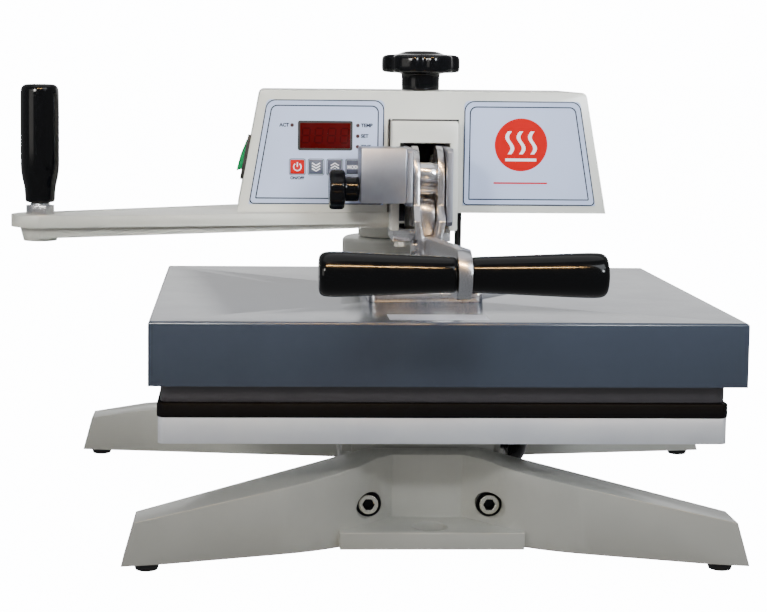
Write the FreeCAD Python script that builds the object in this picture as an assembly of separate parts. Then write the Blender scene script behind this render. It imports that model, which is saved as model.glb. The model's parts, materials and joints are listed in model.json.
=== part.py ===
import FreeCAD, Part
import math
import os

# Swing-away heat press. Millimetres, +Z up, +X to the operator's right, +Y to the back.
# The model is drawn with X = 0 on the machine's centre plane, Y = 0 at the platen centre
# and Z = 0 on the floor, then moved so that its origin is the centre of its own footprint.

os.makedirs("parts", exist_ok=True)

# ---- driving dimensions -----------------------------------------------------------------
PLATEN_W = 500.0
PLATEN_D = 400.0
PLATEN_X = 5.0
FOOT_R = 12.0
FOOT_H = 8.0
LEG_Z0 = 7.0

FRONT_TIP_X = 279.0
FRONT_TIP_Y = -209.0
FRONT_TIP_Z = 46.0
FRONT_TOP_Z = 86.0
FRONT_WALL_Y = -111.0
FRONT_BACK_Y = -80.0
POCKET_X = 33.0
SHELF_X = 84.0
SHELF_Y = -168.0
SHELF_Z0 = 11.0
SHELF_Z1 = 26.5
BENCH_HOLE_Y = -144.0
BENCH_HOLE_R = 16.0
FRONT_BOLT_X = 56.0
FRONT_BOLT_Z = 44.0
COUNTERBORE_R = 12.0

REAR_TIP_X = 354.0
REAR_TIP_Y = 268.0
REAR_TIP_Z = 44.0
REAR_TOP_Z = 70.0
REAR_MID_Y = 222.0
LEG_D = 40.0

POST_Y = 285.0
COLUMN_R = 59.0
COLUMN_TOP = 252.0
SHAFT_R = 25.0
SHAFT_Z0 = 150.0
SHAFT_TOP = 366.0
BOSS_R = 41.0
BOSS_Z0 = 253.4
ARM_Z0 = 300.0
ARM_Z1 = 372.0
FIT_GAP = 0.05

PEDESTAL_X = 77.0
PEDESTAL_Y = 80.0
PEDESTAL_Z0 = 60.0
LOWER_Z0 = 115.7
LOWER_Z1 = 139.0
LOWER_W = 504.0
LOWER_D = 404.0
PAD_W = 506.0
PAD_D = 406.0
PAD_T = 12.8
PLATEN_Z0 = 152.2
PLATEN_Z1 = 178.0

COVER_X = 8.0
COVER_W = 526.0
COVER_D = 426.0
COVER_Z0 = 168.5
COVER_Z1 = 225.5
SHEET = 2.0

YOKE_X = 32.0
CHEEK_T = 8.0
YOKE_Y0 = -51.0
YOKE_Y1 = 60.0
CHEEK_Z0 = 290.0
CROSSBAR_Z0 = 374.0
CROSSBAR_Z1 = 395.0

BOX_Y0 = -32.0
BOX_Y1 = 105.0
BOX_Z0 = 306.0
BOX_Z1 = 423.0
BOX_X0 = 178.5
BOX_X1 = 157.0
CHANNEL_X = 34.0

PIVOT_Y = -62.0
PIVOT_Z = 332.0
CRANK = 24.0
LINK_L = 46.0
LEVER_IN = 8.5
LEVER_OUT = 14.5
BRACKET_IN = 16.0
BRACKET_OUT = 21.5
BAR_X = 5.4
GRIP_Y = -356.0
GRIP_Z = 284.5
STRAP_R = 20.0
GRIP_END = 114.0

SWING_X = -363.0
SWING_Y = -72.0
SWING_R = 27.0
SWING_Z0 = 295.0
RIB_Z0 = 284.5
BOSS_END_Z = 281.5
SWING_GRIP_Z0 = 317.0
SWING_GRIP_Z1 = 427.5
SPACER_Y = -75.0
SPACER_Z = 346.0
SPACER_R = 11.0

KNOB_Y = 5.0
KNOB_LOBES = 6
RAM_R = 8.0

CRANK_Z = PIVOT_Z - CRANK
TOE_Z = CRANK_Z - LINK_L

# The footprint runs from the swing bar's end to the rear foot's tip, and from the grip to
# the back of the column, so its centre is known from those four dimensions.
SHIFT_X = -(SWING_X - SWING_R + REAR_TIP_X) / 2
SHIFT_Y = -(GRIP_Y - STRAP_R + POST_Y + COLUMN_R) / 2

V = FreeCAD.Vector
X_AXIS = V(1, 0, 0)
Y_AXIS = V(0, 1, 0)
Z_AXIS = V(0, 0, 1)

NODES = {}


# ---- helpers ----------------------------------------------------------------------------
def box(x0, x1, y0, y1, z0, z1):
    return Part.makeBox(x1 - x0, y1 - y0, z1 - z0, V(x0, y0, z0))


def rod(radius, start, end):
    a = V(*start)
    b = V(*end)
    return Part.makeCylinder(radius, (b - a).Length, a, b - a)


def cone(r0, r1, start, end):
    a = V(*start)
    b = V(*end)
    return Part.makeCone(r0, r1, (b - a).Length, a, b - a)


def prism_xz(points, y0, y1):
    wire = Part.makePolygon([V(x, y0, z) for x, z in points] + [V(points[0][0], y0, points[0][1])])
    return Part.Face(wire).extrude(V(0, y1 - y0, 0))


def prism_yz(points, x0, x1):
    wire = Part.makePolygon([V(x0, y, z) for y, z in points] + [V(x0, points[0][0], points[0][1])])
    return Part.Face(wire).extrude(V(x1 - x0, 0, 0))


def prism_xy(points, z0, z1):
    wire = Part.makePolygon([V(x, y, z0) for x, y in points] + [V(points[0][0], points[0][1], z0)])
    return Part.Face(wire).extrude(V(0, 0, z1 - z0))


def hex_prism(across_flats, start, end):
    a = V(*start)
    b = V(*end)
    r = across_flats / math.sqrt(3)
    corners = [V(r * math.cos(math.radians(60 * i)), r * math.sin(math.radians(60 * i)), 0) for i in range(7)]
    solid = Part.Face(Part.makePolygon(corners)).extrude(V(0, 0, (b - a).Length))
    solid.Placement = FreeCAD.Placement(a, FreeCAD.Rotation(Z_AXIS, b - a))
    return solid


def lathe_x(points, y, z):
    """Solid of revolution about the line along X through (y, z); points are (x, radius)."""
    path = [V(x, y, z + r) for x, r in points]
    return Part.Face(Part.makePolygon(path + [path[0]])).revolve(V(0, y, z), X_AXIS, 360)


def lathe_z(points, x, y):
    """Solid of revolution about the vertical line through (x, y); points are (radius, z)."""
    path = [V(x + r, y, z) for r, z in points]
    return Part.Face(Part.makePolygon(path + [path[0]])).revolve(V(x, y, 0), Z_AXIS, 360)


def round_edges(solid, radius, wanted):
    edges = [e for e in solid.Edges if wanted(e)]
    return solid.makeFillet(radius, edges)


def along(edge, axis):
    if len(edge.Vertexes) != 2:
        return False
    run = edge.Vertexes[1].Point - edge.Vertexes[0].Point
    return run.Length > 0.1 and abs(run.normalize().dot(axis)) > 0.999


def join(solids):
    return solids[0].fuse(solids[1:]).removeSplitter()


def both_sides(make):
    return [make(-1), make(1)]


def mirror_x(solid):
    return solid.mirror(V(0, 0, 0), X_AXIS)


def platen_box(width, depth, z0, z1, x=PLATEN_X):
    """A plate centred on the platen, which is set a little to the right of the ram."""
    return box(x - width / 2, x + width / 2, -depth / 2, depth / 2, z0, z1)


def save(name, shape):
    shapes = shape if isinstance(shape, list) else [shape]
    solids = [s for piece in shapes for s in piece.Solids]
    moved = [s.translated(V(SHIFT_X, SHIFT_Y, 0)) for s in solids]
    NODES[name] = moved
    whole = moved[0] if len(moved) == 1 else Part.makeCompound(moved)
    whole.exportStep("parts/" + name + ".step")


def socket_bolt(x, y, z, head_r, head_h, shank_r, shank_l):
    """Socket-head cap screw along Y; y is the underside of its head, which faces the front."""
    head = rod(head_r, (x, y - head_h, z), (x, y, z))
    shank = rod(shank_r, (x, y, z), (x, y + shank_l, z))
    socket = hex_prism(head_r * 1.1, (x, y - head_h, z), (x, y - 0.3 * head_h, z))
    return join([head, shank]).cut(socket)


# ---- base -------------------------------------------------------------------------------
def leg_plan(tip_x, tip_front, tip_back, mid_x, mid_front, mid_back, z0, z1):
    points = [(mid_x, mid_front), (tip_x, tip_front), (tip_x, tip_back), (mid_x, mid_back)]
    return prism_xy(points, z0, z1)


def chain(points):
    """Straight edges through the points, in the XY plane."""
    spots = [V(x, y, 0) for x, y in points]
    return [Part.LineSegment(a, b).toShape() for a, b in zip(spots, spots[1:])]


def bend(start, corner, end):
    """A smooth curve from start to end that touches the two lines meeting at the corner."""
    curve = Part.BezierCurve()
    curve.setPoles([V(x, y, 0) for x, y in (start, corner, end)])
    return curve.toShape()


def front_leg_plan():
    wall_end = (POCKET_X, FRONT_WALL_Y)
    corner = (SHELF_X, SHELF_Y)
    tip = (FRONT_TIP_X, FRONT_TIP_Y)
    bend_in = lerp(wall_end, corner, 0.55)
    bend_out = lerp(corner, tip, 0.3)
    edges = chain([(0, FRONT_WALL_Y), wall_end, bend_in])
    edges.append(bend(bend_in, corner, bend_out))
    edges += chain([
        bend_out, tip, (FRONT_TIP_X, FRONT_TIP_Y + LEG_D), (60, FRONT_BACK_Y), (0, FRONT_BACK_Y),
        (0, FRONT_WALL_Y),
    ])
    return Part.Face(Part.Wire(edges)).extrude(V(0, 0, 100))


def lerp(a, b, share):
    return tuple(p + (q - p) * share for p, q in zip(a, b))


def front_cross_foot():
    depth = abs(FRONT_TIP_Y) + 10
    side = [
        (0, SHELF_Z0), (SHELF_X, SHELF_Z0), (238, LEG_Z0), (FRONT_TIP_X, LEG_Z0),
        (FRONT_TIP_X - 11, FRONT_TIP_Z), (POCKET_X + 17, FRONT_TOP_Z), (0, FRONT_TOP_Z),
    ]
    elevation = prism_xz(side, -depth, -60)
    leg = elevation.common(front_leg_plan())
    hollow = prism_xz([(110, 0), (225, 0), (225, 18), (110, 34)], -depth, -60)
    core = leg_plan(
        FRONT_TIP_X, FRONT_TIP_Y + 9, FRONT_TIP_Y + LEG_D - 9, SHELF_X + 8, SHELF_Y + 14, -99, 0, 100,
    )
    right = leg.cut(hollow.common(core))
    shelf = box(-SHELF_X, SHELF_X, SHELF_Y, -100, SHELF_Z0, SHELF_Z1)
    body = join([shelf, right, mirror_x(right)])
    body = body.cut(rod(BENCH_HOLE_R, (0, BENCH_HOLE_Y, 0), (0, BENCH_HOLE_Y, 40)))
    for x in (-FRONT_BOLT_X, FRONT_BOLT_X):
        body = body.cut(rod(COUNTERBORE_R, (x, -190, FRONT_BOLT_Z), (x, -122, FRONT_BOLT_Z)))
        body = body.cut(rod(6, (x, -130, FRONT_BOLT_Z), (x, -60, FRONT_BOLT_Z)))
    return body


def rear_cross_foot():
    side = [
        (0, LEG_Z0), (REAR_TIP_X, LEG_Z0), (REAR_TIP_X - 10, REAR_TIP_Z),
        (REAR_TIP_X - 70, REAR_TIP_Z + 10), (70, REAR_TOP_Z), (0, REAR_TOP_Z),
    ]
    elevation = prism_xz(side, 180, 340)
    leg = leg_plan(REAR_TIP_X, REAR_TIP_Y, REAR_TIP_Y + LEG_D, -1, REAR_MID_Y, 300, 0, 90)
    right = elevation.common(leg)
    inside = [
        (90, LEG_Z0), (REAR_TIP_X - 18, LEG_Z0), (REAR_TIP_X - 22, REAR_TIP_Z - 8),
        (REAR_TIP_X - 72, REAR_TIP_Z + 2), (90, REAR_TOP_Z - 10),
    ]
    hollow = prism_xz(inside, 180, 340)
    core = leg_plan(REAR_TIP_X, REAR_TIP_Y + 7, REAR_TIP_Y + LEG_D - 7, -1, REAR_MID_Y + 7, 293, 0, 90)
    foot_pad = rod(FOOT_R + 5, (REAR_TIP_X - 20, 284, LEG_Z0), (REAR_TIP_X - 20, 284, 20)).common(elevation)
    right = right.cut(hollow.common(core)).fuse(foot_pad)
    body = join([right, mirror_x(right)])
    return body.cut(rod(COLUMN_R, (0, POST_Y, 0), (0, POST_Y, 100)))


def base_spine():
    body = box(-60, 60, -80, REAR_MID_Y, 14, PEDESTAL_Z0)
    inner = box(-52, 52, -72, REAR_MID_Y - 8, 10, PEDESTAL_Z0 - 8)
    body = body.cut(inner)
    for x in (-FRONT_BOLT_X + 14, FRONT_BOLT_X - 14):
        body = body.cut(rod(5, (x, 190, 36), (x, 230, 36)))
    for x in (-FRONT_BOLT_X, FRONT_BOLT_X):
        body = body.cut(rod(6, (x, -90, FRONT_BOLT_Z), (x, -50, FRONT_BOLT_Z)))
    return body.cut(rod(COLUMN_R, (0, POST_Y, 0), (0, POST_Y, 100)))


def foot(x, y):
    return cone(FOOT_R - 2, FOOT_R, (x, y, 0), (x, y, LEG_Z0))


def rubber_feet():
    return [foot(257, -190), foot(-257, -190), foot(REAR_TIP_X - 20, 284), foot(20 - REAR_TIP_X, 284)]


def front_foot_bolts():
    return [socket_bolt(s * FRONT_BOLT_X, -122, FRONT_BOLT_Z, 9.0, 12, 6, 62) for s in (-1, 1)]


def post_column():
    outline = [
        (0, LEG_Z0), (COLUMN_R, LEG_Z0), (COLUMN_R, COLUMN_TOP - 3), (COLUMN_R - 3, COLUMN_TOP),
        (SHAFT_R, COLUMN_TOP), (SHAFT_R, SHAFT_Z0), (0, SHAFT_Z0),
    ]
    return lathe_z(outline, 0, POST_Y)


def post_shaft():
    outline = [
        (0, SHAFT_Z0), (SHAFT_R, SHAFT_Z0), (SHAFT_R, SHAFT_TOP - 2), (SHAFT_R - 2, SHAFT_TOP), (0, SHAFT_TOP),
    ]
    return lathe_z(outline, 0, POST_Y)


def thrust_washer():
    top = COLUMN_TOP + 1
    return lathe_z([(SHAFT_R, COLUMN_TOP), (38, COLUMN_TOP), (38, top), (SHAFT_R, top)], 0, POST_Y)


def platen_pedestal():
    body = box(-PEDESTAL_X, PEDESTAL_X, -PEDESTAL_Y, PEDESTAL_Y, PEDESTAL_Z0, LOWER_Z0)
    body = round_edges(body, 12, lambda e: along(e, Z_AXIS))
    waist = box(-200, 200, -200, 200, 70, 106)
    waist = waist.cut(box(-PEDESTAL_X + 9, PEDESTAL_X - 9, -PEDESTAL_Y + 9, PEDESTAL_Y - 9, 60, 120))
    body = body.cut(waist)
    lug = box(-PEDESTAL_X, -PEDESTAL_X + 19, -60, -30, 78, 98)
    boss = rod(15, (PEDESTAL_X - 12, -40, 87), (PEDESTAL_X, -40, 87))
    body = join([body, lug, boss])
    body = body.cut(rod(5, (30, -40, 87), (PEDESTAL_X + 1, -40, 87)))
    for x, y in PEDESTAL_SCREWS:
        body = body.cut(rod(5, (x, y, 90), (x, y, LOWER_Z0 + 1)))
    return body


PEDESTAL_SCREWS = [(-55, -55), (55, -55), (-55, 55), (55, 55)]


def platen_screws():
    return [rod(5, (x, y, 90), (x, y, LOWER_Z0 + 14)) for x, y in PEDESTAL_SCREWS]


def platen_clamp_knob():
    outline = [
        (PEDESTAL_X + 1, 0), (PEDESTAL_X + 1, 11), (PEDESTAL_X + 7, 11), (PEDESTAL_X + 8, 24),
        (PEDESTAL_X + 16, 25), (PEDESTAL_X + 22, 21), (PEDESTAL_X + 26, 12), (PEDESTAL_X + 27, 0),
    ]
    screw = rod(5 - FIT_GAP, (34, -40, 87), (PEDESTAL_X + 2, -40, 87))
    return join([lathe_x(outline, -40, 87), screw])


def lower_platen():
    body = platen_box(LOWER_W, LOWER_D, LOWER_Z0, LOWER_Z1)
    body = round_edges(body, 6, lambda e: along(e, Z_AXIS))
    for x, y in PEDESTAL_SCREWS:
        body = body.cut(rod(5, (x, y, LOWER_Z0), (x, y, LOWER_Z0 + 14)))
    return body


def silicone_pad():
    body = platen_box(PAD_W, PAD_D, LOWER_Z1, LOWER_Z1 + PAD_T)
    return round_edges(body, 8, lambda e: along(e, Z_AXIS))


# ---- swinging head ----------------------------------------------------------------------
def swing_arm():
    boss = rod(BOSS_R, (0, POST_Y, BOSS_Z0), (0, POST_Y, ARM_Z1))
    beam = box(-YOKE_X, YOKE_X, YOKE_Y1, POST_Y, ARM_Z0, ARM_Z1)
    inside = box(-YOKE_X + CHEEK_T, YOKE_X - CHEEK_T, YOKE_Y1, 230, ARM_Z0 + 8, ARM_Z1 - 8)
    body = join([boss, beam]).cut(inside)
    return body.cut(rod(30, (0, POST_Y, BOSS_Z0), (0, POST_Y, SHAFT_TOP + 2)))


def arm_bush(z0, z1):
    r = SHAFT_R + FIT_GAP
    return lathe_z([(r, z0), (30, z0), (30, z1), (r, z1)], 0, POST_Y)


def arm_cap():
    outline = [
        (0, ARM_Z1), (BOSS_R - 6, ARM_Z1), (BOSS_R - 6, ARM_Z1 + 3), (BOSS_R - 12, ARM_Z1 + 7), (0, ARM_Z1 + 7),
    ]
    return lathe_z(outline, 0, POST_Y)


def head_yoke():
    body = box(-YOKE_X, YOKE_X, YOKE_Y0, YOKE_Y1, CHEEK_Z0, CROSSBAR_Z1)
    body = round_edges(body, 3, lambda e: along(e, Y_AXIS) and e.Vertexes[0].Z > CROSSBAR_Z0)
    gap = box(-YOKE_X + CHEEK_T, YOKE_X - CHEEK_T, YOKE_Y0, YOKE_Y1, CHEEK_Z0, CROSSBAR_Z0)
    body = body.cut(gap)
    return body.cut(rod(8, (0, KNOB_Y, CROSSBAR_Z0), (0, KNOB_Y, CROSSBAR_Z1)))


def yoke_back_plate():
    return box(-YOKE_X + CHEEK_T, YOKE_X - CHEEK_T, YOKE_Y1 - 3, YOKE_Y1, CHEEK_Z0, CROSSBAR_Z0)


def ram_guide():
    flange = box(-28, 28, -30, 30, CHEEK_Z0 - 12, CHEEK_Z0)
    sleeve = rod(14, (0, 0, CHEEK_Z0), (0, 0, CHEEK_Z0 + 40))
    body = join([flange, sleeve])
    body = body.cut(rod(RAM_R + FIT_GAP, (0, 0, CHEEK_Z0 - 13), (0, 0, CHEEK_Z0 + 41)))
    for x, y in GUIDE_BOLTS:
        body = body.cut(rod(3, (x, y, CHEEK_Z0 - 13), (x, y, CHEEK_Z0 + 1)))
    return body


GUIDE_BOLTS = [(-20, -22), (20, -22), (-20, 22), (20, 22)]


def guide_bolts():
    bolts = []
    for x, y in GUIDE_BOLTS:
        head = hex_prism(10, (x, y, CHEEK_Z0 - 18), (x, y, CHEEK_Z0 - 12))
        bolts.append(join([head, rod(3, (x, y, CHEEK_Z0 - 12), (x, y, CHEEK_Z0))]))
    return bolts


BRACKET_BOLTS = [(-8, 352), (26, 352)]


def pivot_bracket(side):
    toe = 299 if side > 0 else 317
    outline = [
        (-100, toe + 4), (-96, toe), (-84, toe), (-60, 317), (36, 334), (40, 338), (40, 368), (37, 371),
        (-97, 371), (-100, 368),
    ]
    body = prism_yz(outline, BRACKET_IN, BRACKET_OUT)
    for y, z in BRACKET_BOLTS:
        body = body.fuse(rod(8, (BRACKET_OUT, y, z), (YOKE_X - CHEEK_T, y, z)))
        body = body.cut(rod(4, (BRACKET_IN - 1, y, z), (YOKE_X - CHEEK_T + 1, y, z)))
    body = body.removeSplitter().cut(rod(7, (0, PIVOT_Y, PIVOT_Z), (40, PIVOT_Y, PIVOT_Z)))
    return body if side > 0 else mirror_x(body)


def bracket_bolts():
    bolts = []
    for y, z in BRACKET_BOLTS:
        head = hex_prism(13, (BRACKET_IN - 3, y, z), (BRACKET_IN, y, z))
        bolt = join([head, rod(4, (BRACKET_IN, y, z), (YOKE_X - CHEEK_T, y, z))])
        bolts += [bolt, mirror_x(bolt)]
    return bolts


def lever_pivot_pin():
    return rod(7, (-BRACKET_OUT, PIVOT_Y, PIVOT_Z), (BRACKET_OUT, PIVOT_Y, PIVOT_Z))


def clamp_block():
    body = box(-64.5, -BRACKET_OUT, -100, -56, 320, 371)
    body = round_edges(body, 1.5, lambda e: along(e, Y_AXIS) or along(e, Z_AXIS))
    return body.cut(rod(5, (-65, -78, PIVOT_Z), (-30, -78, PIVOT_Z)))


def clamp_knob():
    lobes = 8
    head = rod(19.5, (-93, -78, PIVOT_Z), (-78, -78, PIVOT_Z))
    for i in range(lobes):
        turn = 2 * math.pi * i / lobes
        y = -78 + 21.5 * math.cos(turn)
        z = PIVOT_Z + 21.5 * math.sin(turn)
        head = head.cut(rod(4, (-94, y, z), (-77, y, z)))
    hub = rod(11.7, (-78, -78, PIVOT_Z), (-65, -78, PIVOT_Z))
    screw = rod(5 - FIT_GAP, (-65, -78, PIVOT_Z), (-32, -78, PIVOT_Z))
    return join([head, hub, screw])


def swing_bar_plan(grow, z0, z1):
    right_x = -YOKE_X
    front_y = BOX_Y0
    back_y = 61.0
    outer = prism_xy([
        (right_x, front_y + grow), (SWING_X + 2, SWING_Y - SWING_R + grow), (SWING_X - 2, SWING_Y + SWING_R - grow),
        (-BOX_X0, back_y - grow), (right_x, back_y - grow),
    ], z0, z1)
    end = rod(SWING_R - grow, (SWING_X, SWING_Y, z0), (SWING_X, SWING_Y, z1))
    return outer.fuse(end)


def side_swing_bar():
    plate = swing_bar_plan(0, SWING_Z0, BOX_Z0)
    rib = swing_bar_plan(7, RIB_Z0, SWING_Z0)
    taper = [(SWING_X, RIB_Z0), (SWING_X, SWING_Z0), (-YOKE_X, SWING_Z0), (-YOKE_X, SWING_Z0 - 4)]
    keep = prism_xz(taper, -150, 150)
    rib = rib.common(keep).cut(swing_bar_plan(14, RIB_Z0, SWING_Z0))
    boss = cone(15.5, 19, (SWING_X, SWING_Y, BOSS_END_Z), (SWING_X, SWING_Y, SWING_Z0))
    body = join([plate, rib, boss])
    return body.cut(rod(6, (SWING_X, SWING_Y, 270), (SWING_X, SWING_Y, 310)))


def grip_stud():
    return rod(6, (SWING_X, SWING_Y, BOSS_END_Z), (SWING_X, SWING_Y, 420))


def grip_nut():
    top = SWING_GRIP_Z0 - 0.3
    nut = hex_prism(23, (SWING_X, SWING_Y, BOX_Z0), (SWING_X, SWING_Y, top - 2.2))
    collar = rod(9, (SWING_X, SWING_Y, top - 2.2), (SWING_X, SWING_Y, top))
    return join([nut, collar]).cut(rod(6, (SWING_X, SWING_Y, 300), (SWING_X, SWING_Y, 320)))


def swing_grip():
    r = 6 + FIT_GAP
    z0 = SWING_GRIP_Z0
    z1 = SWING_GRIP_Z1
    outline = [
        (r, z0), (13, z0), (14, z0 + 2), (15, z0 + 20), (17.6, z0 + 42), (18, z0 + 60), (18, z1 - 6),
        (16.5, z1 - 1.5), (13, z1), (0, z1), (0, 421), (r, 421),
    ]
    return lathe_z(outline, SWING_X, SWING_Y)


# ---- control box ------------------------------------------------------------------------
BUTTONS = {"power_button": -121.2, "down_button": -103.2, "up_button": -85.2, "mode_button": -67.2}
BUTTON_Z = 349.6
BUTTON_HALF = 6.5
BUTTON_HOLE = 6.9
BUTTON_TRAVEL = 0.5
LAMPS = [(-126.6, 389.7), (-63.4, 389.7), (-63.4, 379.5), (-63.4, 369.3)]
LAMP_R = 1.8
WINDOW = (-119.4, -70.0, 367.2, 392.4)
COVER_SCREWS = [(-150, 320), (-136, 410), (136, 410), (150, 320), (-60, 410), (60, 410)]
CONDUIT = (46.0, 60.0)
CONDUIT_R = 3.6
GROMMET_R = 7.0
GLAND_POS = (120.0, 335.0)
ROCKER_Y = 20.0
ROCKER_Z = 356.0
SLOPE = math.degrees(math.atan2(BOX_X0 - BOX_X1, BOX_Z1 - BOX_Z0))


def box_outline(inset):
    slope = math.radians(SLOPE)
    shrink = inset / math.cos(slope)
    lean = math.tan(slope)
    low = BOX_X0 - shrink - lean * inset
    high = BOX_X1 - shrink + lean * inset
    z0 = BOX_Z0 + inset
    z1 = BOX_Z1 - inset
    c = CHANNEL_X + inset
    roof = CROSSBAR_Z1 + 0.2 + inset
    return [(-low, z0), (-high, z1), (high, z1), (low, z0), (c, z0), (c, roof), (-c, roof), (-c, z0)]


def box_prism(inset, y0, y1):
    body = prism_xz(box_outline(inset), y0, y1)
    corner = 6 - inset / 2
    return round_edges(body, corner, lambda e: along(e, Y_AXIS) and e.Vertexes[0].Z > BOX_Z1 - 10)


def on_left_slope(solid):
    """Turn a solid drawn about the origin so that its local -X faces out of the left side."""
    lean = (ROCKER_Z - BOX_Z0) * math.tan(math.radians(SLOPE))
    solid.rotate(V(0, 0, 0), Y_AXIS, SLOPE)
    solid.translate(V(-BOX_X0 + lean, ROCKER_Y, ROCKER_Z))
    return solid


def control_box():
    body = box_prism(0, BOX_Y0, BOX_Y1)
    body = body.cut(box_prism(SHEET, BOX_Y0 + SHEET, BOX_Y1 + 1))
    x0, x1, z0, z1 = WINDOW
    body = body.cut(box(x0, x1, BOX_Y0 - 1, BOX_Y0 + 3, z0, z1))
    for x in BUTTONS.values():
        h = BUTTON_HOLE
        body = body.cut(box(x - h, x + h, BOX_Y0 - 1, BOX_Y0 + 3, BUTTON_Z - h, BUTTON_Z + h))
    for x, z in LAMPS:
        body = body.cut(rod(LAMP_R, (x, BOX_Y0 - 1, z), (x, BOX_Y0 + 3, z)))
    body = body.cut(rod(11, (0, KNOB_Y, CROSSBAR_Z1), (0, KNOB_Y, BOX_Z1 + 5)))
    x, y = CONDUIT
    body = body.cut(rod(GROMMET_R, (x, y, BOX_Z0 - 1), (x, y, BOX_Z0 + 3)))
    return body.cut(on_left_slope(box(-10, 10, -9, 9, -19.5, 19.5)))


def control_rear_cover():
    body = box_prism(0, BOX_Y1, BOX_Y1 + SHEET)
    for x, z in COVER_SCREWS:
        body = body.cut(rod(2, (x, BOX_Y1 - 1, z), (x, BOX_Y1 + 3, z)))
    for i in range(6):
        z = 350 + 7 * i
        body = body.cut(box(-125, -70, BOX_Y1 - 1, BOX_Y1 + 3, z, z + 3))
    return body.cut(rod(8, (GLAND_POS[0], 100, GLAND_POS[1]), (GLAND_POS[0], 110, GLAND_POS[1])))


def cover_screws():
    back = BOX_Y1 + SHEET
    screws = []
    for x, z in COVER_SCREWS:
        head = cone(4, 2.6, (x, back, z), (x, back + 2.2, z))
        screws.append(join([head, rod(2, (x, back - 9, z), (x, back, z))]))
    return screws


def cable_gland():
    x, z = GLAND_POS
    back = BOX_Y1 + SHEET
    nut = hex_prism(22, (x, back, z), (x, back + 7, z))
    cap = cone(9.5, 6, (x, back + 7, z), (x, back + 20, z))
    neck = rod(8, (x, back - 8, z), (x, back, z))
    return join([nut, cap, neck]).cut(rod(4, (x, back - 9, z), (x, back + 21, z)))


OVERLAY_T = 0.8


def overlay(points):
    body = prism_xz(points, BOX_Y0 - OVERLAY_T, BOX_Y0)
    return round_edges(body, 5, lambda e: along(e, Y_AXIS) and e.Vertexes[0].Z > 360)


def left_overlay():
    body = overlay([(-168, 313.5), (-151, 414.3), (-38, 414.3), (-38, 313.5)])
    x0, x1, z0, z1 = WINDOW
    body = body.cut(box(x0, x1, BOX_Y0 - 1, BOX_Y0, z0, z1))
    for x in BUTTONS.values():
        h = BUTTON_HOLE
        body = body.cut(box(x - h, x + h, BOX_Y0 - 1, BOX_Y0, BUTTON_Z - h, BUTTON_Z + h))
    for x, z in LAMPS:
        body = body.cut(rod(LAMP_R, (x, BOX_Y0 - 1, z), (x, BOX_Y0, z)))
    return body


def right_overlay():
    return overlay([(39, 313.5), (39, 414.3), (151, 414.3), (168, 313.5)])


def display_lens():
    x0, x1, z0, z1 = WINDOW
    return box(x0, x1, BOX_Y0 - 1.2, BOX_Y0 + 1.2, z0, z1)


def display_module():
    x0, x1, z0, z1 = WINDOW
    return box(x0 + 1, x1 - 1, BOX_Y0 + 1.6, BOX_Y0 + 11, z0 + 1, z1 - 1)


def indicator_lamps():
    return [rod(LAMP_R, (x, BOX_Y0 - 1.2, z), (x, BOX_Y0 + 11, z)) for x, z in LAMPS]


def push_button(x):
    h = BUTTON_HALF
    y0 = BOX_Y0 - 1.6
    cap = box(x - h, x + h, y0, BOX_Y0 + 5, BUTTON_Z - h, BUTTON_Z + h)
    cap = round_edges(cap, 1, lambda e: along(e, Y_AXIS))
    stem = rod(1.8, (x, BOX_Y0 + 5, BUTTON_Z), (x, BOX_Y0 + 11 - BUTTON_TRAVEL - 0.2, BUTTON_Z))
    return join([cap, stem])


def control_board():
    y = BOX_Y0 + 11
    return box(-150, -50, y, y + 1.6, 322, 400)


def transformer():
    core = box(70, 130, 20, 66, 310, 358)
    coil = box(64, 136, 26, 60, 318, 350)
    return join([core, coil])


def solid_state_relay():
    return box(-130, -72, 40, 64, 310, 355)


def terminal_block():
    body = box(45, 115, 75, 95, 370, 384)
    for i in range(6):
        x = 51 + 11.5 * i
        body = body.cut(rod(3, (x, 85, 378), (x, 85, 390)))
    return body


def conduit_grommet():
    x, y = CONDUIT
    bore = CONDUIT_R + 0.6
    lip = GROMMET_R + 2.5
    top = BOX_Z0 + SHEET
    outline = [
        (bore, BOX_Z0 - 2.5), (lip, BOX_Z0 - 2.5), (lip, BOX_Z0), (GROMMET_R, BOX_Z0), (GROMMET_R, top),
        (lip, top), (lip, top + 2), (bore, top + 2),
    ]
    return lathe_z(outline, x, y)


def switch_bezel():
    frame = box(-3.2, 0, -11.5, 11.5, -22, 22)
    barrel = box(0, 20, -9, 9, -19.5, 19.5)
    body = join([frame, barrel])
    return on_left_slope(body.cut(box(-4, 16, -7.5, 7.5, -18, 18)))


def power_rocker():
    profile = [(9, -6), (9, 6), (-6, 16.5), (-7, 0), (-6, -16.5)]
    wire = Part.makePolygon([V(x, -7, z) for x, z in profile] + [V(profile[0][0], -7, profile[0][1])])
    body = Part.Face(wire).extrude(V(0, 14, 0))
    body.rotate(V(3, 0, 0), Y_AXIS, ROCKER_TILT)
    return on_left_slope(body)


ROCKER_TILT = 8.0


# ---- pressure knob ----------------------------------------------------------------------
def pressure_screw():
    shaft = rod(RAM_R - FIT_GAP, (0, KNOB_Y, CROSSBAR_Z0 - 3), (0, KNOB_Y, BOX_Z1 + 12))
    return shaft


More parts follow.
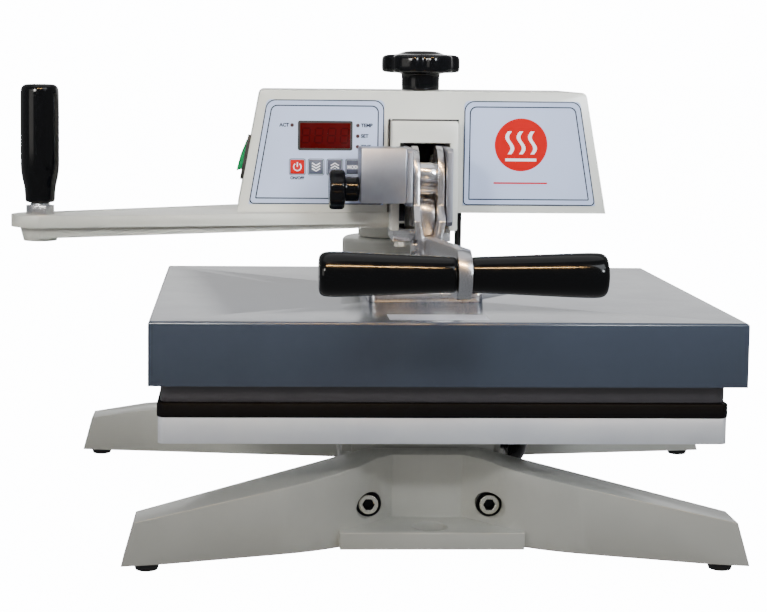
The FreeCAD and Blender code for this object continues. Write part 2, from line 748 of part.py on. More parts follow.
def star_knob():
    z0 = BOX_Z1 + 0.6
    hub = rod(18.5, (0, KNOB_Y, z0), (0, KNOB_Y, 441))
    flange = rod(38, (0, KNOB_Y, 441), (0, KNOB_Y, 458))
    for i in range(KNOB_LOBES):
        turn = 2 * math.pi * (i + 0.5) / KNOB_LOBES
        x = 44 * math.cos(turn)
        y = KNOB_Y + 44 * math.sin(turn)
        flange = flange.cut(rod(10, (x, y, 440), (x, y, 460)))
    flange = round_edges(flange, 2.5, lambda e: e.BoundBox.ZLength < 0.1)
    dome = lathe_z([(0, 457), (20, 457), (20, 459), (15, 461.4), (8, 462), (0, 462)], 0, KNOB_Y)
    body = join([hub, flange, dome])
    return body.cut(rod(RAM_R - FIT_GAP, (0, KNOB_Y, z0 - 1), (0, KNOB_Y, BOX_Z1 + 12)))


# ---- handle lever -----------------------------------------------------------------------
def lever_plate(side):
    turns = [math.radians(a) for a in range(0, 181, 15)]
    top = [(PIVOT_Y + 29 * math.cos(a), 343 + 29 * math.sin(a)) for a in turns]
    outline = top + [(-91, 318), (-108, 304), (-83, 304), (-66, 296), (-50, 296), (-36, 320)]
    body = prism_yz(outline, LEVER_IN, LEVER_OUT)
    step = LEVER_IN - BAR_X
    leg = prism_xz([
        (LEVER_IN, 304), (LEVER_OUT, 304), (LEVER_OUT - step, 288), (LEVER_OUT - step, 272),
        (BAR_X, 272), (BAR_X, 288),
    ], -108, -83)
    body = join([body, leg])
    holes = [(PIVOT_Y, PIVOT_Z, 7 + FIT_GAP), (PIVOT_Y, CRANK_Z, 6), (SPACER_Y, SPACER_Z, 4), (-95, 279, 4)]
    for y, z, r in holes:
        body = body.cut(rod(r, (0, y, z), (30, y, z)))
    return body if side > 0 else mirror_x(body)


def spacer_barrel():
    barrel = rod(SPACER_R, (-LEVER_IN, SPACER_Y, SPACER_Z), (LEVER_IN, SPACER_Y, SPACER_Z))
    return join([barrel, rod(4, (-LEVER_OUT, SPACER_Y, SPACER_Z), (LEVER_OUT, SPACER_Y, SPACER_Z))])


def crank_pin():
    return rod(6, (-LEVER_OUT, PIVOT_Y, CRANK_Z), (LEVER_OUT, PIVOT_Y, CRANK_Z))


def handle_bar():
    arm = prism_yz([
        (-83, 288), (GRIP_Y, GRIP_Z + STRAP_R), (GRIP_Y, GRIP_Z - STRAP_R), (-130, 264), (-95, 267), (-83, 272),
    ], -BAR_X, BAR_X)
    end = rod(STRAP_R, (-BAR_X, GRIP_Y, GRIP_Z), (BAR_X, GRIP_Y, GRIP_Z))
    body = join([arm, end])
    body = body.cut(rod(5, (-20, GRIP_Y, GRIP_Z), (20, GRIP_Y, GRIP_Z)))
    return body.cut(rod(4, (-20, -95, 279), (20, -95, 279)))


def lever_bolt():
    x = LEVER_OUT - LEVER_IN + BAR_X
    head = hex_prism(12, (x, -95, 279), (x + 5, -95, 279))
    nut = hex_prism(12, (-x - 5, -95, 279), (-x, -95, 279))
    return join([head, nut, rod(4, (-x, -95, 279), (x, -95, 279))])


def cross_rod():
    return rod(5, (-100, GRIP_Y, GRIP_Z), (100, GRIP_Y, GRIP_Z))


def handle_grip(side):
    outline = [
        (BAR_X, 5), (BAR_X, 13.4), (BAR_X + 2, 14.2), (40, 15.6), (72, 17.2), (104, 18), (GRIP_END - 3, 17.6),
        (GRIP_END - 0.6, 15.6), (GRIP_END, 13), (GRIP_END, 0), (100, 0), (100, 5),
    ]
    body = lathe_x(outline, GRIP_Y, GRIP_Z)
    return body if side > 0 else mirror_x(body)


# ---- toggle link ------------------------------------------------------------------------
def toggle_link():
    half = 7.5
    upper = rod(15, (-half, PIVOT_Y, CRANK_Z), (half, PIVOT_Y, CRANK_Z))
    lower = rod(17, (-half, PIVOT_Y, TOE_Z), (half, PIVOT_Y, TOE_Z))
    web = prism_yz([
        (PIVOT_Y - 15, CRANK_Z), (PIVOT_Y + 15, CRANK_Z), (PIVOT_Y + 17, TOE_Z), (PIVOT_Y - 17, TOE_Z),
    ], -half, half)
    body = join([upper, lower, web])
    body = body.cut(rod(6 + FIT_GAP, (-10, PIVOT_Y, CRANK_Z), (10, PIVOT_Y, CRANK_Z)))
    body = body.cut(rod(11.5, (-10, PIVOT_Y, TOE_Z), (10, PIVOT_Y, TOE_Z)))
    return body.cut(box(-4, 4, PIVOT_Y - 30, PIVOT_Y + 30, TOE_Z - 30, TOE_Z + 23))


# ---- carriage ---------------------------------------------------------------------------
FLANGE_SCREWS = [(-44, -70), (44, -70), (-44, 38), (44, 38)]
BACKING_Z0 = 213.0
SPACERS = [(-70, -78), (70, -78), (-70, 78), (70, 78)]


def ram_shaft():
    return rod(RAM_R, (0, 0, COVER_Z1 + 8), (0, 0, 346))


def carriage_bracket():
    plate = box(-54, 54, -82, 50, COVER_Z1, COVER_Z1 + 8)
    plate = round_edges(plate, 6, lambda e: along(e, Z_AXIS))
    boss = rod(13, (0, 0, COVER_Z1 + 8), (0, 0, COVER_Z1 + 22))
    tongue = box(-3.5, 3.5, PIVOT_Y - 10, PIVOT_Y + 10, COVER_Z1 + 8, TOE_Z)
    eye = rod(10, (-3.5, PIVOT_Y, TOE_Z), (3.5, PIVOT_Y, TOE_Z))
    body = join([plate, boss, tongue, eye])
    body = body.cut(rod(RAM_R, (0, 0, COVER_Z1 + 8), (0, 0, 300)))
    body = body.cut(rod(5, (-10, PIVOT_Y, TOE_Z), (10, PIVOT_Y, TOE_Z)))
    for x, y in FLANGE_SCREWS:
        body = body.cut(rod(4, (x, y, 220), (x, y, 240)))
    return body


def bracket_screws():
    screws = []
    top = COVER_Z1 + 8
    for x, y in FLANGE_SCREWS:
        head = rod(6.5, (x, y, top), (x, y, top + 6)).cut(hex_prism(6, (x, y, top + 3), (x, y, top + 7)))
        screws.append(join([head, rod(4, (x, y, BACKING_Z0), (x, y, top))]))
    return screws


def link_pin():
    return rod(5, (-7.4, PIVOT_Y, TOE_Z), (7.4, PIVOT_Y, TOE_Z))


def platen_cover():
    body = platen_box(COVER_W, COVER_D, COVER_Z0, COVER_Z1, COVER_X)
    body = round_edges(body, 2.6, lambda e: not along(e, Z_AXIS) and e.BoundBox.ZMin > COVER_Z1 - 1)
    inner = platen_box(COVER_W - 2 * SHEET, COVER_D - 2 * SHEET, COVER_Z0 - 1, COVER_Z1 - SHEET, COVER_X)
    body = body.cut(inner)
    for x, y in FLANGE_SCREWS:
        body = body.cut(rod(4, (x, y, 220), (x, y, 240)))
    return body.cut(rod(CONDUIT_R, (CONDUIT[0], CONDUIT[1], 220), (CONDUIT[0], CONDUIT[1], 240)))


def cover_label():
    return box(-44, 44, -198, -166, COVER_Z1, COVER_Z1 + 0.3)


def backing_plate():
    plate = box(-84, 84, -92, 92, BACKING_Z0, COVER_Z1 - SHEET)
    legs = [rod(9, (x, y, PLATEN_Z1), (x, y, BACKING_Z0)) for x, y in SPACERS]
    body = join([plate] + legs)
    for x, y in FLANGE_SCREWS:
        body = body.cut(rod(4, (x, y, 210), (x, y, 230)))
    return body.cut(rod(12, (CONDUIT[0], CONDUIT[1], 200), (CONDUIT[0], CONDUIT[1], 230)))


def heated_platen():
    body = platen_box(PLATEN_W, PLATEN_D, PLATEN_Z0, PLATEN_Z1)
    return round_edges(body, 8, lambda e: along(e, Z_AXIS))


def heating_element():
    z = PLATEN_Z1 + 4.2
    pitch = 52.0
    rows = 7
    reach = 200.0
    pieces = []
    for i in range(rows):
        y = (i - (rows - 1) / 2) * pitch
        pieces.append(rod(4, (-reach, y, z), (reach, y, z)))
        if i + 1 < rows:
            side = 1 if i % 2 == 0 else -1
            circle = Part.Wire(Part.makeCircle(4, V(side * reach, y, z), X_AXIS))
            turn = Part.Face(circle).revolve(V(side * reach, y + pitch / 2, z), Z_AXIS, 180 * side)
            pieces.append(turn)
    return join(pieces)


def insulation_blanket():
    body = platen_box(PLATEN_W - 10, PLATEN_D - 10, PLATEN_Z1 + 9, PLATEN_Z1 + 30)
    for x, y in SPACERS:
        body = body.cut(rod(9, (x, y, 150), (x, y, 230)))
    body = body.cut(rod(12, (CONDUIT[0], CONDUIT[1], 150), (CONDUIT[0], CONDUIT[1], 230)))
    return body.cut(box(150, 190, 6, 46, 150, 230))


def thermostat():
    body = rod(11, (170, 26, PLATEN_Z1), (170, 26, PLATEN_Z1 + 12))
    tab = box(166, 174, 12, 40, PLATEN_Z1 + 12, PLATEN_Z1 + 13.5)
    return join([body, tab])


def heater_conduit():
    x, y = CONDUIT
    z0 = PLATEN_Z1 + 12
    z1 = BOX_Z0 + 26
    tube = rod(CONDUIT_R, (x, y, z0), (x, y, z1))
    return tube.cut(rod(CONDUIT_R - 1, (x, y, z0), (x, y, z1)))


# ---- build ------------------------------------------------------------------------------
save("front_cross_foot", front_cross_foot())
save("rear_cross_foot", rear_cross_foot())
save("base_spine", base_spine())
save("rubber_feet", rubber_feet())
save("post_column", post_column())
save("post_shaft", [post_shaft(), thrust_washer()])
save("platen_pedestal", platen_pedestal())
save("base_bolts", front_foot_bolts() + platen_screws())
save("platen_clamp_knob", platen_clamp_knob())
save("lower_platen", lower_platen())
save("silicone_pad", silicone_pad())

save("swing_arm", swing_arm())
save("arm_bushes", [arm_bush(254, 284), arm_bush(330, 360)])
save("arm_cap", arm_cap())
save("head_yoke", head_yoke())
save("yoke_back_plate", yoke_back_plate())
save("ram_guide", ram_guide())
save("pivot_brackets", both_sides(pivot_bracket))
save("head_bolts", guide_bolts() + bracket_bolts())
save("lever_pivot_pin", lever_pivot_pin())
save("clamp_block", clamp_block())
save("clamp_knob", clamp_knob())
save("side_swing_bar", side_swing_bar())
save("grip_stud_and_nut", [grip_stud(), grip_nut()])
save("swing_grip", swing_grip())

save("control_box", control_box())
save("control_rear_cover", control_rear_cover())
save("cover_screws", cover_screws())
save("cable_gland", cable_gland())
save("left_overlay", left_overlay())
save("right_overlay", right_overlay())
save("display_lens", display_lens())
save("display_module", display_module())
save("indicator_lamps", indicator_lamps())
save("control_board", control_board())
save("power_components", [transformer(), solid_state_relay(), terminal_block()])
save("conduit_grommet", conduit_grommet())
save("switch_bezel", switch_bezel())
save("power_rocker", power_rocker())
for button, button_x in BUTTONS.items():
    save(button, push_button(button_x))

save("star_knob", [star_knob(), pressure_screw()])
save("lever_plates", both_sides(lever_plate))
save("lever_fasteners", [spacer_barrel(), crank_pin(), lever_bolt(), cross_rod()])
save("handle_bar", handle_bar())
save("handle_grips", both_sides(handle_grip))
save("toggle_link", toggle_link())

save("ram_shaft", [ram_shaft(), link_pin()])
save("carriage_bracket", carriage_bracket())
save("bracket_screws", bracket_screws())
save("platen_cover", platen_cover())
save("heated_platen", heated_platen())
save("heating_element", [heating_element(), thermostat()])
save("insulation_blanket", insulation_blanket())
save("backing_plate", backing_plate())
save("cover_label", cover_label())
save("heater_conduit", heater_conduit())

corners = [s.BoundBox for solids in NODES.values() for s in solids]
low = (min(b.XMin for b in corners), min(b.YMin for b in corners), min(b.ZMin for b in corners))
high = (max(b.XMax for b in corners), max(b.YMax for b in corners), max(b.ZMax for b in corners))
print("nodes", len(NODES), "low", [round(v, 2) for v in low], "high", [round(v, 2) for v in high])
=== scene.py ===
import json
import math
import bmesh
import bpy
from mathutils import Matrix, Vector


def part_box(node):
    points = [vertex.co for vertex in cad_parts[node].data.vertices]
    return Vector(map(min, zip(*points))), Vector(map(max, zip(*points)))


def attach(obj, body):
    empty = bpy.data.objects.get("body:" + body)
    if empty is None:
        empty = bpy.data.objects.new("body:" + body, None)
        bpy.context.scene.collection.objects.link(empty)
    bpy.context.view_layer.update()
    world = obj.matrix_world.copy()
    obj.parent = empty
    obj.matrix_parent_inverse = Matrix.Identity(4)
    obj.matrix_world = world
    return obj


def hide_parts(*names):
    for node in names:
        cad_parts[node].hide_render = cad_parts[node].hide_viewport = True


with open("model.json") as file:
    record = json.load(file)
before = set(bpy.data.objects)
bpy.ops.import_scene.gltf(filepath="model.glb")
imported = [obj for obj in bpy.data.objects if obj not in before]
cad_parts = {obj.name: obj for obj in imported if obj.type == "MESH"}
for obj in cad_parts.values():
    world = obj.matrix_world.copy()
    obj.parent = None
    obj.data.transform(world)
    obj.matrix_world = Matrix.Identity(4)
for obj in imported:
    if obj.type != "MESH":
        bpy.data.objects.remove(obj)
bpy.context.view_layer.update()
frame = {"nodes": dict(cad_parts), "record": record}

# Swing-away heat press in the pack's frame: metres, +Z up, +Y to the back. Lengths written
# as numbers below are millimetres and are multiplied by MM where they meet the frame.
MM = 0.001
NODES = frame["nodes"]


# ---- places read from the frame -----------------------------------------------------------
def box_mm(node):
    """The low and high corners of a CAD node's box, in millimetres."""
    low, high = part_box(node)
    return Vector(low) / MM, Vector(high) / MM


def centre(node):
    low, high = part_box(node)
    return (Vector(low) + Vector(high)) / 2


def low_corner(node):
    return Vector(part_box(node)[0])


def high_corner(node):
    return Vector(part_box(node)[1])


PANEL_Y = low_corner("left_overlay").y

# The two socket bolts in the front casting, in millimetres from its middle and from the floor.
FRONT_BOLT_X = 56.0
FRONT_BOLT_Z = 44.0
FRONT_BOLT_R = 9.0
COUNTERBORE_R = 12.0

# The top of the yoke's crossbar, in millimetres from the floor.
CROSSBAR_TOP = 395.0


# ---- material building --------------------------------------------------------------------
# The values between which nearly all of a noise lies.
NOISE_LOW, NOISE_HIGH = 0.3, 0.7


class Mat:
    """A Principled material and short ways to wire procedural detail into it."""

    def __init__(self, name, colour, rough, metallic=0.0):
        self.mat = bpy.data.materials.new(name)
        self.mat.use_nodes = True
        self.nodes = self.mat.node_tree.nodes
        self.links = self.mat.node_tree.links
        self.shader = self.nodes["Principled BSDF"]
        self.colour = (*colour, 1.0)
        self.shader.inputs["Base Color"].default_value = self.colour
        self.shader.inputs["Roughness"].default_value = rough
        self.shader.inputs["Metallic"].default_value = metallic
        self.height = None
        self.coords = self.nodes.new("ShaderNodeTexCoord").outputs["Object"]
        self.mat.diffuse_color = self.colour

    def link(self, a, b):
        self.links.new(a, b)

    def scaled(self, scale):
        node = self.nodes.new("ShaderNodeMapping")
        node.inputs["Scale"].default_value = scale
        self.link(self.coords, node.inputs["Vector"])
        return node.outputs["Vector"]

    def noise(self, size_mm, detail=4.0, rough=0.55, stretch=(1, 1, 1)):
        node = self.nodes.new("ShaderNodeTexNoise")
        node.inputs["Scale"].default_value = 1 / (size_mm * MM)
        node.inputs["Detail"].default_value = detail
        node.inputs["Roughness"].default_value = rough
        self.link(self.scaled(stretch), node.inputs["Vector"])
        return node.outputs["Fac"]

    def vary_colour(self, fac, spread):
        """Base colour that wanders by a share of itself over a noise."""
        node = self.nodes.new("ShaderNodeValToRGB")
        dark, light = node.color_ramp.elements
        dark.position, light.position = NOISE_LOW, NOISE_HIGH
        dark.color = tuple(c * (1 - spread) for c in self.colour[:3]) + (1,)
        light.color = tuple(min(1, c * (1 + spread)) for c in self.colour[:3]) + (1,)
        self.link(fac, node.inputs["Fac"])
        self.link(node.outputs["Color"], self.shader.inputs["Base Color"])

    def vary_rough(self, fac, low, high):
        node = self.nodes.new("ShaderNodeMapRange")
        node.inputs["From Min"].default_value = NOISE_LOW
        node.inputs["From Max"].default_value = NOISE_HIGH
        node.inputs["To Min"].default_value = low
        node.inputs["To Max"].default_value = high
        self.link(fac, node.inputs["Value"])
        self.link(node.outputs["Result"], self.shader.inputs["Roughness"])

    def bump(self, fac, depth_mm, strength=1.0):
        node = self.nodes.new("ShaderNodeBump")
        node.inputs["Distance"].default_value = depth_mm * MM
        node.inputs["Strength"].default_value = strength
        self.link(fac, node.inputs["Height"])
        if self.height is not None:
            self.link(self.height, node.inputs["Normal"])
        self.height = node.outputs["Normal"]
        self.link(self.height, self.shader.inputs["Normal"])

    def set(self, **values):
        for key, value in values.items():
            self.shader.inputs[key.replace("_", " ")].default_value = value


def enamel(name, colour, rough, peel=0.03, coat=0.3, dulling=0.07):
    """Sprayed enamel: orange peel, faint mottling and dust-dulled patches."""
    m = Mat(name, colour, rough)
    m.vary_colour(m.noise(90, 3.0), 0.035)
    m.vary_rough(m.noise(45, 5.0), rough - 0.5 * dulling, rough + dulling)
    m.bump(m.noise(2.4, 2.0), peel)
    m.bump(m.noise(28, 2.0), peel * 2.0, 0.35)
    m.set(Coat_Weight=coat, Coat_Roughness=0.18)
    return m.mat


def brushed(name, colour, rough, along=(1, 1, 14), depth=0.02, spread=0.07):
    """Brushed or rolled metal: long fine scratches in one direction over cloudy patches."""
    m = Mat(name, colour, rough, 1.0)
    m.vary_colour(m.noise(14, 4.0), spread)
    m.vary_rough(m.noise(0.9, 3.0, 0.6, along), rough - 0.07, rough + 0.1)
    m.bump(m.noise(0.7, 3.0, 0.6, along), depth, 0.5)
    return m.mat


def moulded(name, colour, rough, grain_mm=0.5, depth=0.015, coat=0.0):
    """Moulded plastic or rubber, or a baked coating, with a fine grain."""
    m = Mat(name, colour, rough)
    m.vary_colour(m.noise(30, 3.0), 0.06)
    m.vary_rough(m.noise(9, 4.0), max(0.03, rough - 0.03), rough + 0.05)
    m.bump(m.noise(grain_mm, 2.0), depth, 0.6)
    m.set(Coat_Weight=coat, Coat_Roughness=0.04)
    return m.mat


def phenolic(name):
    """Polished black phenolic, with very slight ripple and fine handling marks."""
    m = Mat(name, (0.0015, 0.0017, 0.0024), 0.13)
    m.vary_rough(m.noise(12, 5.0), 0.09, 0.2)
    m.bump(m.noise(22, 1.0), 0.05, 0.3)
    m.bump(m.noise(0.8, 2.0), 0.003, 0.5)
    m.set(Coat_Weight=0.2, Coat_Roughness=0.05, Specular_IOR_Level=0.15)
    return m.mat


def milled_aluminium(name, colour):
    """Clear-coated plate with faint milling marks along its width."""
    m = Mat(name, colour, 0.40, 0.35)
    m.vary_colour(m.noise(60, 4.0), 0.05)
    m.vary_rough(m.noise(1.2, 3.0, 0.6, (0.2, 3, 3)), 0.36, 0.52)
    m.bump(m.noise(1.0, 3.0, 0.6, (0.15, 4, 4)), 0.02, 0.5)
    return m.mat


def sponge(name, colour):
    """Silicone sponge: fine closed cells with scattered larger pits."""
    m = Mat(name, colour, 0.72)
    m.set(Specular_IOR_Level=0.15)
    m.vary_colour(m.noise(18, 4.0), 0.25)
    m.bump(m.noise(0.9, 3.0), 0.08)
    m.bump(m.noise(6, 4.0), 0.12, 0.5)
    return m.mat


def fibre_cloth(name, colour):
    """Matted ceramic fibre."""
    m = Mat(name, colour, 0.9)
    m.vary_colour(m.noise(5, 6.0), 0.12)
    m.bump(m.noise(1.2, 6.0, 0.7, (1, 1, 4)), 0.25)
    m.set(Sheen_Weight=0.3)
    return m.mat


def printed_film(name, colour, rough=0.32, coat=0.25, specular=0.5):
    """Polycarbonate film with a fine velvet texture."""
    m = Mat(name, colour, rough)
    m.vary_colour(m.noise(40, 2.0), 0.02)
    m.vary_rough(m.noise(5, 4.0), rough - 0.04, rough + 0.06)
    m.bump(m.noise(0.35, 1.0), 0.006, 0.6)
    m.set(Coat_Weight=coat, Coat_Roughness=0.2, Specular_IOR_Level=specular)
    return m.mat


def tinted_window(name, colour):
    """Dark, clear-topped plastic in front of an unlit display."""
    m = Mat(name, colour, 0.18)
    m.vary_rough(m.noise(8, 3.0), 0.14, 0.26)
    m.set(Specular_IOR_Level=0.22)
    return m.mat


def lit(mat, colour, strength):
    """The same material with a weak glow, as a neon behind it gives."""
    shader = mat.node_tree.nodes["Principled BSDF"]
    shader.inputs["Emission Color"].default_value = (*colour, 1)
    shader.inputs["Emission Strength"].default_value = strength
    return mat


MATS = {
    "cream_paint": enamel("cream_enamel", (0.60, 0.60, 0.55), 0.34),
    "slate_paint": enamel("slate_enamel", (0.055, 0.070, 0.102), 0.20, 0.005, 0.35, 0.03),
    "platen_aluminium": milled_aluminium("milled_aluminium", (0.88, 0.91, 0.98)),
    "coated_platen": moulded("ptfe_coating", (0.074, 0.070, 0.078), 0.42, 0.6, 0.02),
    "black_silicone": sponge("silicone_sponge", (0.0008, 0.0012, 0.0025)),
    "black_rubber": moulded("black_rubber", (0.010, 0.010, 0.011), 0.62, 0.8, 0.03),
    "gloss_black": phenolic("black_phenolic"),
    "polished": brushed("polished_bolt", (0.90, 0.88, 0.78), 0.22, (6, 1, 6), 0.01, 0.04),
    # matte_black is also painted shade: the rings in the front counterbores and the strips in the yoke
    # gaps.
    "matte_black": moulded("black_nylon_and_painted_shade", (0.010, 0.010, 0.011), 0.45),
    "zinc_steel": brushed("zinc_plated_steel", (0.50, 0.51, 0.54), 0.24, (1, 1, 9), 0.015, 0.07),
    "zinc_dull": brushed("dull_zinc_plate", (0.30, 0.325, 0.385), 0.36, (1, 1, 9), 0.015, 0.06),
    "bright_steel": brushed("ground_steel", (0.72, 0.73, 0.75), 0.16, (9, 1, 1), 0.006, 0.03),
    # black_steel is also painted shade: the cups in the front bolts' sockets.
    "black_steel": brushed("black_oxide_steel_and_painted_shade", (0.020, 0.020, 0.022), 0.42),
    "bronze": brushed("bearing_bronze", (0.50, 0.33, 0.15), 0.32),
    "overlay_film": printed_film("overlay_film", (0.44, 0.51, 0.71)),
    "red_window": tinted_window("red_window", (0.052, 0.0003, 0.0006)),
    "lamp_red": moulded("lamp_red", (0.030, 0.001, 0.005), 0.5),
    "circuit_board": moulded("circuit_board", (0.02, 0.15, 0.06), 0.4),
    "rocker_green": lit(
        moulded("rocker_green", (0.0, 0.17, 0.05), 0.18, 2.0, 0.003, 0.4), (0, 0.5, 0.15), 0.06,
    ),
    "button_red": printed_film("button_red", (0.46, 0.0, 0.0), 0.5, 0.0, 0.12),
    "button_slate": printed_film("button_slate", (0.070, 0.080, 0.115), 0.38),
    "element_steel": brushed("element_steel", (0.33, 0.30, 0.27), 0.4),
    "insulation": fibre_cloth("ceramic_fibre", (0.72, 0.69, 0.60)),
    "white_label": printed_film("label_film", (0.62, 0.62, 0.68)),
}
INK_DARK = printed_film("ink_slate", (0.006, 0.008, 0.022), 0.6, 0.0, 0.2)
INK_WHITE = printed_film("ink_white", (0.76, 0.77, 0.82), 0.45)
INK_RED = printed_film("ink_red", (0.46, 0.0, 0.0), 0.5, 0.0, 0.12)
INK_GREY = printed_film("ink_grey", (0.14, 0.15, 0.21), 0.45)
INK_BAND = printed_film("ink_band", (0.16, 0.18, 0.24), 0.42)
DIGIT_OFF = tinted_window("digit_dim", (0.034, 0.0002, 0.0004))
SLOT_OF = {part["node"]: part["material_slot"] for part in frame["record"]["subparts"]}
BODY_OF = {
    node: body for body, nodes in frame["record"]["behaviour"]["bodies"].items() for node in nodes
}


# ---- mesh building ------------------------------------------------------------------------
# Corners closer than this are one corner; faces that differ by less than this angle are one face.
WELD_MM = 0.002
FLAT_DEG = 0.6
BEVEL_DEG = 32


def new_piece(name, mesh, mats, body, replaces=()):
    obj = bpy.data.objects.new(name, mesh)
    bpy.context.scene.collection.objects.link(obj)
    for mat in mats:
        mesh.materials.append(mat)
    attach(obj, body)
    if replaces:
        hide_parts(*replaces)
    return obj


def from_bmesh(name, bm, mats, body, replaces=(), smooth=True):
    bmesh.ops.recalc_face_normals(bm, faces=bm.faces[:])
    mesh = bpy.data.meshes.new(name)
    bm.to_mesh(mesh)
    bm.free()
    if smooth:
        mesh.polygons.foreach_set("use_smooth", [True] * len(mesh.polygons))
    return new_piece(name, mesh, mats, body, replaces)


def apply_modifiers(obj):
    deps = bpy.context.evaluated_depsgraph_get()
    mesh = bpy.data.meshes.new_from_object(obj.evaluated_get(deps), depsgraph=deps)
    obj.modifiers.clear()
    obj.data = mesh


def bevel(obj, width_mm):
    mod = obj.modifiers.new("edge", "BEVEL")
    mod.width = width_mm * MM
    mod.segments = 2
    mod.limit_method = "ANGLE"
    mod.angle_limit = math.radians(BEVEL_DEG)
    mod.use_clamp_overlap = True
    mod.harden_normals = True
    apply_modifiers(obj)


def softened(node, width_mm, mat):
    """A copy of a CAD node's surface with its flat faces merged and its edges rounded."""
    bm = bmesh.new()
    bm.from_mesh(NODES[node].data)
    bmesh.ops.remove_doubles(bm, verts=bm.verts[:], dist=WELD_MM * MM)
    bmesh.ops.dissolve_limit(
        bm, angle_limit=math.radians(FLAT_DEG), verts=bm.verts[:], edges=bm.edges[:],
        use_dissolve_boundaries=False,
    )
    obj = from_bmesh("soft_" + node, bm, [mat], BODY_OF[node], [node])
    bevel(obj, width_mm)


def lathe(name, profile, origin, axis, body, slot, replaces=(), steps=72, ripple=None, rounds=2):
    """Turns (radius, distance) points, in millimetres, about an axis through origin.

    ripple scales the radius by angle, radius and distance; rounds is how often corners are cut.
    """
    bm = bmesh.new()
    turn = Vector((0, 0, 1)).rotation_difference(Vector(axis)).to_matrix().to_4x4()
    place = Matrix.Translation(origin) @ turn
    points = smooth_profile(profile, rounds)
    rings = []
    for r, h in points:
        if r < 1e-6:
            rings.append([bm.verts.new(place @ Vector((0, 0, h * MM)))])
            continue
        ring = []
        for i in range(steps):
            a = 2 * math.pi * i / steps
            grow = ripple(a, r, h) if ripple else 1.0
            spot = Vector((r * grow * math.cos(a), r * grow * math.sin(a), h)) * MM
            ring.append(bm.verts.new(place @ spot))
        rings.append(ring)
    for a, b in zip(rings, rings[1:]):
        bridge(bm, a, b, steps)
    return from_bmesh(name, bm, [MATS[slot]], body, replaces)


def bridge(bm, a, b, steps):
    """Faces between two rings of corners; a ring of one corner is a pole."""
    for i in range(steps):
        j = (i + 1) % steps
        if len(a) == 1 and len(b) > 1:
            bm.faces.new([a[0], b[i], b[j]])
        elif len(b) == 1 and len(a) > 1:
            bm.faces.new([a[i], b[0], a[j]])
        elif len(a) > 1:
            bm.faces.new([a[i], b[i], b[j], a[j]])


def smooth_profile(points, rounds):
    """Corner cutting that keeps the two ends, so that a turned outline has rounded corners."""
    path = [Vector(p) for p in points]
    for _ in range(rounds):
        cut = [path[0]]
        for a, b in zip(path, path[1:]):
            cut += [a.lerp(b, 0.25), a.lerp(b, 0.75)]
        path = cut + [path[-1]]
    return [(p.x, p.y) for p in path]


# ---- castings, plates and sheet metal ------------------------------------------------------
# How much of each node's sharp edges is rounded off.
EDGE_MM = {
    "front_cross_foot": 3.0, "rear_cross_foot": 3.0, "base_spine": 2.0, "platen_pedestal": 2.0,
    "post_column": 1.5, "swing_arm": 3.0, "arm_cap": 0.8, "head_yoke": 1.2, "side_swing_bar": 2.2,
    "control_box": 0.7, "control_rear_cover": 0.5, "pivot_brackets": 0.7, "clamp_block": 0.9,
    "ram_guide": 0.8, "lever_plates": 1.0, "handle_bar": 1.6, "toggle_link": 0.9,
    "carriage_bracket": 1.0, "lower_platen": 1.0, "silicone_pad": 1.2, "heated_platen": 1.0,
    "rubber_feet": 0.9, "switch_bezel": 0.6, "power_rocker": 1.0, "display_lens": 0.35,
    "conduit_grommet": 0.6, "lever_fasteners": 0.5, "base_bolts": 0.5, "cable_gland": 0.5,
    "grip_stud_and_nut": 0.6, "power_button": 0.35, "down_button": 0.35, "up_button": 0.35,
    "mode_button": 0.35, "cover_screws": 0.2, "head_bolts": 0.4, "bracket_screws": 0.4,
    "yoke_back_plate": 0.3, "cover_label": 0.1, "platen_cover": 0.5, "backing_plate": 0.5,
    "ram_shaft": 0.5, "post_shaft": 0.5, "lever_pivot_pin": 0.5, "indicator_lamps": 0.4,
}

# Nodes that look different from the rest of their slot.
OWN_FINISH = {"base_bolts": "polished", "clamp_block": "zinc_dull", "pivot_brackets": "zinc_dull"}


def build_softened():
    for node, width in EDGE_MM.items():
        softened(node, width, MATS[OWN_FINISH.get(node, SLOT_OF[node])])


def counterbore_shadows():
    """Painted shade for the front bolts: a matte black ring in each counterbore and a dark cup in each
    socket stand in for the shade in these recesses, so that the bright bolt head stands out.
    """
    middle = centre("front_cross_foot").x
    front = low_corner("base_bolts").y
    inner = FRONT_BOLT_R + 0.15
    outer = COUNTERBORE_R - 0.1
    ring = [(inner, 0), (inner, 5), (outer, 5), (outer, 0)]
    cup = [(3.9, 0), (4.7, 0), (4.7, 4.6), (0, 4.6), (0, 4.0), (3.9, 4.0)]
    for end, side in (("_left", -1), ("_right", 1)):
        x = middle + side * FRONT_BOLT_X * MM
        for name, profile, depth, slot, steps in (
            ("counterbore", ring, 3.5, "matte_black", 48), ("socket", cup, 0.6, "black_steel", 36),
        ):
            origin = (x, front + depth * MM, FRONT_BOLT_Z * MM)
            lathe(name + end, profile, origin, (0, 1, 0), "base", slot, steps=steps, rounds=0)


def yoke_gap_shadows():
    """Painted shade: thin matte black strips over and to the left of the yoke's crossbar stand in for
    the shadow in the gap between the cast yoke and the control box around it.
    """
    low, high = box_mm("head_yoke")
    x0, x1 = low.x, high.x
    z0, z1 = CROSSBAR_TOP + 0.1, CROSSBAR_TOP + 1.7
    foot = CROSSBAR_TOP - 46
    lift = PANEL_Y / MM - low.y - 2.5
    over = [(x0, z0), (x0, z1), (x1, z1), (x1, z0)]
    beside = [(x0 - 1.5, foot), (x0 - 1.5, z1), (x0 - 0.1, z1), (x0 - 0.1, foot)]
    flat_print("yoke_gap_shadow_top", over, None, lift, MATS["matte_black"], "head", 1.2)
    flat_print("yoke_gap_shadow_left", beside, None, 0.2, MATS["matte_black"], "head", 1.2)


def carry_over():
    """CAD nodes that stay as they are take the detailed materials."""
    for node, obj in NODES.items():
        obj.data.materials.clear()
        obj.data.materials.append(MATS[SLOT_OF[node]])


